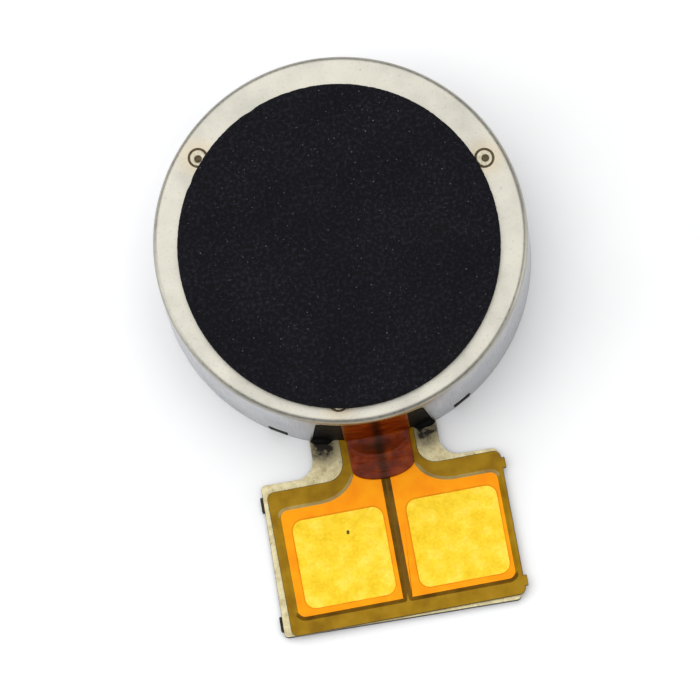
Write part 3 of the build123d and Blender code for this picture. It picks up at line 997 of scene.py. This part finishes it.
def make_plateau(side, word):
    """Coverlay over one copper field: it slopes down to the bare film, and its window has a soft edge."""
    bare_top = cover_top - bare_drop
    outside = moved(raised(trace_outline(side, film_high, drape), bare_top - film_high), turn(flex_turn))
    window = raised(pad_outline(side, film_high - past), 1)
    field = combined(outside, [window], "DIFFERENCE")
    for share, rise in ((0.35, 0.25), (0.35, 0.5), (0.3, 0.25)):
        flat = [f for f in field.faces if f.normal.z > 0.99]
        level = max(f.calc_center_median().z for f in flat)
        top = [f for f in flat if f.calc_center_median().z > level - level_play]
        bmesh.ops.inset_region(
            field, faces=top, thickness=share * drape, depth=rise * bare_drop, use_even_offset=True
        )
    middle = pad_middle(side)
    for vert in field.verts:
        off = off_window(vert.co, middle)
        if vert.co.z > bare_top - level_play and off < drape + edge_play:
            vert.co.z = cover_top - (window_drop if off < edge_play else 0)
    field.normal_update()
    # Flat tops show the copper. The band round a window gets painted shade; slopes facing +Y get painted
    # light; slopes facing -Y and faces by the gap get painted shade; the rest is coverlay on steel.
    for face in field.faces:
        spot = face.calc_center_median()
        if face.normal.z > 0.97 and spot.z > cover_top - 10 * level_play:
            face.material_index = 0
        elif off_window(spot, middle) < window_band:
            face.material_index = 1
        elif face.normal.y > 0.12:
            face.material_index = 3
        elif face.normal.y < -0.12 or abs(spot.x - gap_middle) < 2 * trace_gap:
            face.material_index = 2
        else:
            face.material_index = 4
    materials = [film_on_copper, film_window_painted_shade, film_painted_shade, film_painted_light, film_on_steel]
    return piece(f"coverlay_on_copper_{word}", field, materials)


def make_flex():
    """Glue film, base film, coverlay on steel, coverlay over each copper field, and the pads."""
    glue, base = flex_layer(film_low, film_mid), flex_layer(film_mid, film_high)
    piece("flex_glue_film", glue, [film_glue], replaced=["fpc_adhesive"])
    piece("flex_base_film", base, [film_cut_painted_shade], replaced=["fpc_base_film"])
    bare_top = cover_top - bare_drop
    deep = cover_top - film_high + 2 * past
    fields = [
        moved(raised(trace_outline(side, film_high - past, drape), deep), turn(flex_turn))
        for side in (-1, 1)
    ]
    bare = flex_layer(film_high, bare_top)
    break_edges(bare, film_round, wanted=lambda e: min(v.co.z for v in e.verts) > bare_top - level_play)
    bare = combined(bare, fields, "DIFFERENCE")
    # Faces that are not flat, the film's cut edges, take the dark cut-edge finish: painted shade.
    for face in bare.faces:
        face.material_index = 1 if face.normal.z < 0.97 else 0
    piece("coverlay_on_steel", bare, [film_on_steel, film_cut_painted_shade], replaced=["coverlay"])
    for side, word in ((-1, "left"), (1, "right")):
        make_plateau(side, word)
        foot = pad_low - pad_foot
        pad = raised(pad_outline(side, foot, pad_lap), pad_top - foot)
        if side < 0:
            pit = pad_middle(side).xy + Vector(pit_place)
            pad = combined(pad, [ball((*pit, pad_top + pit_rise), pit_size)], "DIFFERENCE")
            for face in pad.faces:
                inside = (face.calc_center_median().xy - pit).length < pit_size[1]
                face.material_index = 1 if inside and face.calc_area() < 0.001 else 0
        piece(f"gold_contact_{word}", pad, [gold, tarnish], replaced=[f"contact_pad_{word}"])


# Glue and resin


def make_glue():
    """Black glue set back in the notch, with a low spill on the neck each side of the tail."""
    slab = arc_slab(seal_inner, seal_outer, plate_top, can_height - sheet)
    slab = combined(slab, [upright_slab(notch_corners(glue_back))], "INTERSECT")
    lumps = []
    for side in (-1, 1):
        middle = side * (neck_width + tail_width) / 4
        face = -((seal_outer**2 - middle**2) ** 0.5)
        lumps.append(ball((middle, face, plate_top), spill_size))
        place = (middle - spill_step[0] * side, face - spill_step[1], plate_top)
        lumps.append(ball(place, spill_second))
    body = melted(combined(slab, lumps, "UNION"), glue_voxel)
    body = combined(body, [below(plate_top)], "DIFFERENCE")
    return piece("notch_glue", body, [black_glue], replaced=["notch_seal"], sharp=60)


def make_resin():
    """Resin over the tail: a flat drop with a round front, a bank, and a skin up the notch's middle."""
    level = cover_top - bare_drop
    top = notch_height - glue_back
    strip = block(2 * skin_half, 4, top - level, at(0, -can_radius, (top + level) / 2))
    skin = arc_slab(seal_inner + skin_under, skin_outer, level, can_height - sheet)
    skin = combined(skin, [strip], "INTERSECT")
    length, middle = drop_inside + drop_straight, (drop_inside - drop_straight) / 2
    place = at(0, -can_radius + middle, level + drop_height / 2)
    straight = block(2 * drop_half, length, drop_height, place)
    oval = Matrix.Diagonal((drop_half, drop_length - drop_straight, 1, 1))
    place = at(0, -can_radius - drop_straight) @ oval
    front = drum(1, level, level + drop_height, place, drop_steps)
    bank = ball((0, -can_radius + bank_inside, level), bank_size)
    body = melted(combined(skin, [straight, front, bank], "UNION"), resin_voxel)
    inside = drum(seal_inner + resin_inner, 0, can_height + past)
    body = combined(body, [below(level), inside], "DIFFERENCE")
    moved(body, turn(flex_turn))
    return piece("resin_over_tail", body, [resin], replaced=["resin_drop"], sharp=60)


# Foam pad


def make_foam():
    """Die-cut foam disc: a soft top edge, nicks round its rim, and a face that is never flat."""
    middle = (foam_low + foam_high) / 2
    half_x, half_y = (foam_high.x - foam_low.x) / 2, (foam_high.y - foam_low.y) / 2
    bm = outline(
        [
            (0, foam_high.z, 0),
            (0, foam_low.z, 0),
            (half_x - foam_draft, foam_low.z, 0),
            (half_x, foam_high.z, foam_edge),
        ],
        upright=True,
    )
    bmesh.ops.delete(bm, geom=list(bm.faces), context="FACES_ONLY")
    long_edges = [e for e in bm.edges if e.calc_length() > half_x / 2]
    bmesh.ops.subdivide_edges(bm, edges=long_edges, cuts=foam_rings)
    spun(bm, foam_steps)
    moved(bm, at(middle.x, middle.y) @ Matrix.Diagonal((1, half_y / half_x, 1, 1)))
    for vert in bm.verts:
        if vert.co.z < foam_low.z + foam_draft:
            continue
        vert.co.z -= foam_lump * (0.5 + 0.5 * lumpy(vert.co, 0.9, lump_seed))
        out = vert.co.xy - middle.xy
        if out.length > half_x - foam_rim:
            rim = Vector((vert.co.x, vert.co.y, 0))
            nicks = 0.6 * abs(lumpy(rim, 0.12, nick_seed))
            bites = max(0.0, 3 * lumpy(rim, 0.5, bite_seed) - 1.5)
            vert.co.xy -= out.normalized() * foam_nick * (nicks + bites)
    thing = piece("foam_disc", bm, [foam], replaced=["foam_pad"], sharp=80)
    return thing


# Leaf spring


def make_leaf_spring():
    """The CAD spring, welded into one skin, its arms running between the can and the mass."""
    bm = bmesh.new()
    bm.from_mesh(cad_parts["leaf_spring"].data)
    bmesh.ops.remove_doubles(bm, verts=bm.verts, dist=1e-7)
    moved(bm, Matrix.Diagonal((1 / MM, 1 / MM, 1 / MM, 1)))
    arms = [spring_steel]
    thing = piece("leaf_spring_arms", bm, arms, body=None, replaced=["leaf_spring"])
    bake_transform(thing)
    return thing


make_case()
make_welds()
make_base_plate()
make_flex()
make_glue()
make_resin()
make_foam()
make_leaf_spring()

# CAD nodes that stay, each with its own finish
for name, material in {
    "copper_trace_left": copper,
    "copper_trace_right": copper,
    "solder_joint_left": solder,
    "solder_joint_right": solder,
    "coil_adhesive": film_glue,
    "voice_coil": magnet_wire,
    "coil_lead_left": magnet_wire,
    "coil_lead_right": magnet_wire,
    "lower_damper": rubber,
    "upper_damper": rubber,
    "foam_pad_tape": tape_black,
    "yoke": yoke_steel,
    "magnet": magnet_skin,
    "pole_plate": yoke_steel,
    "tungsten_mass": tungsten,
    "hub_washer": yoke_steel,
    "hub_welds": weld_light,
}.items():
    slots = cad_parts[name].data.materials
    slots.clear()
    slots.append(material)


# Camera, light and floor

camera_tilt = 11.344  # degrees from straight above
camera_turn = 3.889
camera_roll = -13.192
camera_shift = (0.126, -2.381)  # millimetres across and up the view
camera_distance = 250.0
camera_lens = 477.63

camera_data = bpy.data.cameras.new("camera")
camera_data.sensor_width = 36
camera_data.lens = camera_lens
camera_data.clip_start = 0.01
camera_data.clip_end = 10
camera = bpy.data.objects.new("camera", camera_data)
bpy.context.scene.collection.objects.link(camera)
camera.matrix_world = (
    Matrix.Rotation(radians(camera_turn), 4, "Z")
    @ Matrix.Rotation(radians(camera_tilt), 4, "X")
    @ Matrix.Rotation(radians(camera_roll), 4, "Z")
    @ Matrix.Translation((camera_shift[0] * MM, camera_shift[1] * MM, camera_distance * MM))
)
bpy.context.scene.camera = camera


def soft_light(name, place, target, width, power):
    """A square soft box at a place, turned to its target; millimetres and watts."""
    data = bpy.data.lights.new(name, "AREA")
    data.size = width * MM
    data.energy = power
    lamp = bpy.data.objects.new(name, data)
    bpy.context.scene.collection.objects.link(lamp)
    direction = Vector(target) - Vector(place)
    lamp.rotation_euler = direction.to_track_quat("-Z", "Y").to_euler()
    lamp.location = Vector(place) * MM


soft_light("softbox_top", (-90, 120, 330), (-90, 120, 0), 560, 1.66)
soft_light("softbox_left", (-330, 0, 120), (0, 0, 0), 200, 0.25)
soft_light("softbox_right", (330, -60, 60), (0, 0, 0), 200, 0.2)

world = bpy.data.worlds.new("studio")
world.use_nodes = True
world.node_tree.nodes["Background"].inputs["Color"].default_value = linear("#F4F5F7")
world.node_tree.nodes["Background"].inputs["Strength"].default_value = 0.38
bpy.context.scene.world = world
bpy.context.scene.view_settings.view_transform = "Standard"

floor_bm = bmesh.new()
bmesh.ops.create_grid(floor_bm, x_segments=1, y_segments=1, size=450)
# Paper sweep: white and matt, so that it only carries the soft shadow
floor_material = mottled("white_paper_sweep", "#F6F6F6", "#FAFAFA", 4.0, rough=(0.8, 0.9), depth=0.0)
floor = piece("floor", floor_bm, [floor_material], body=None)
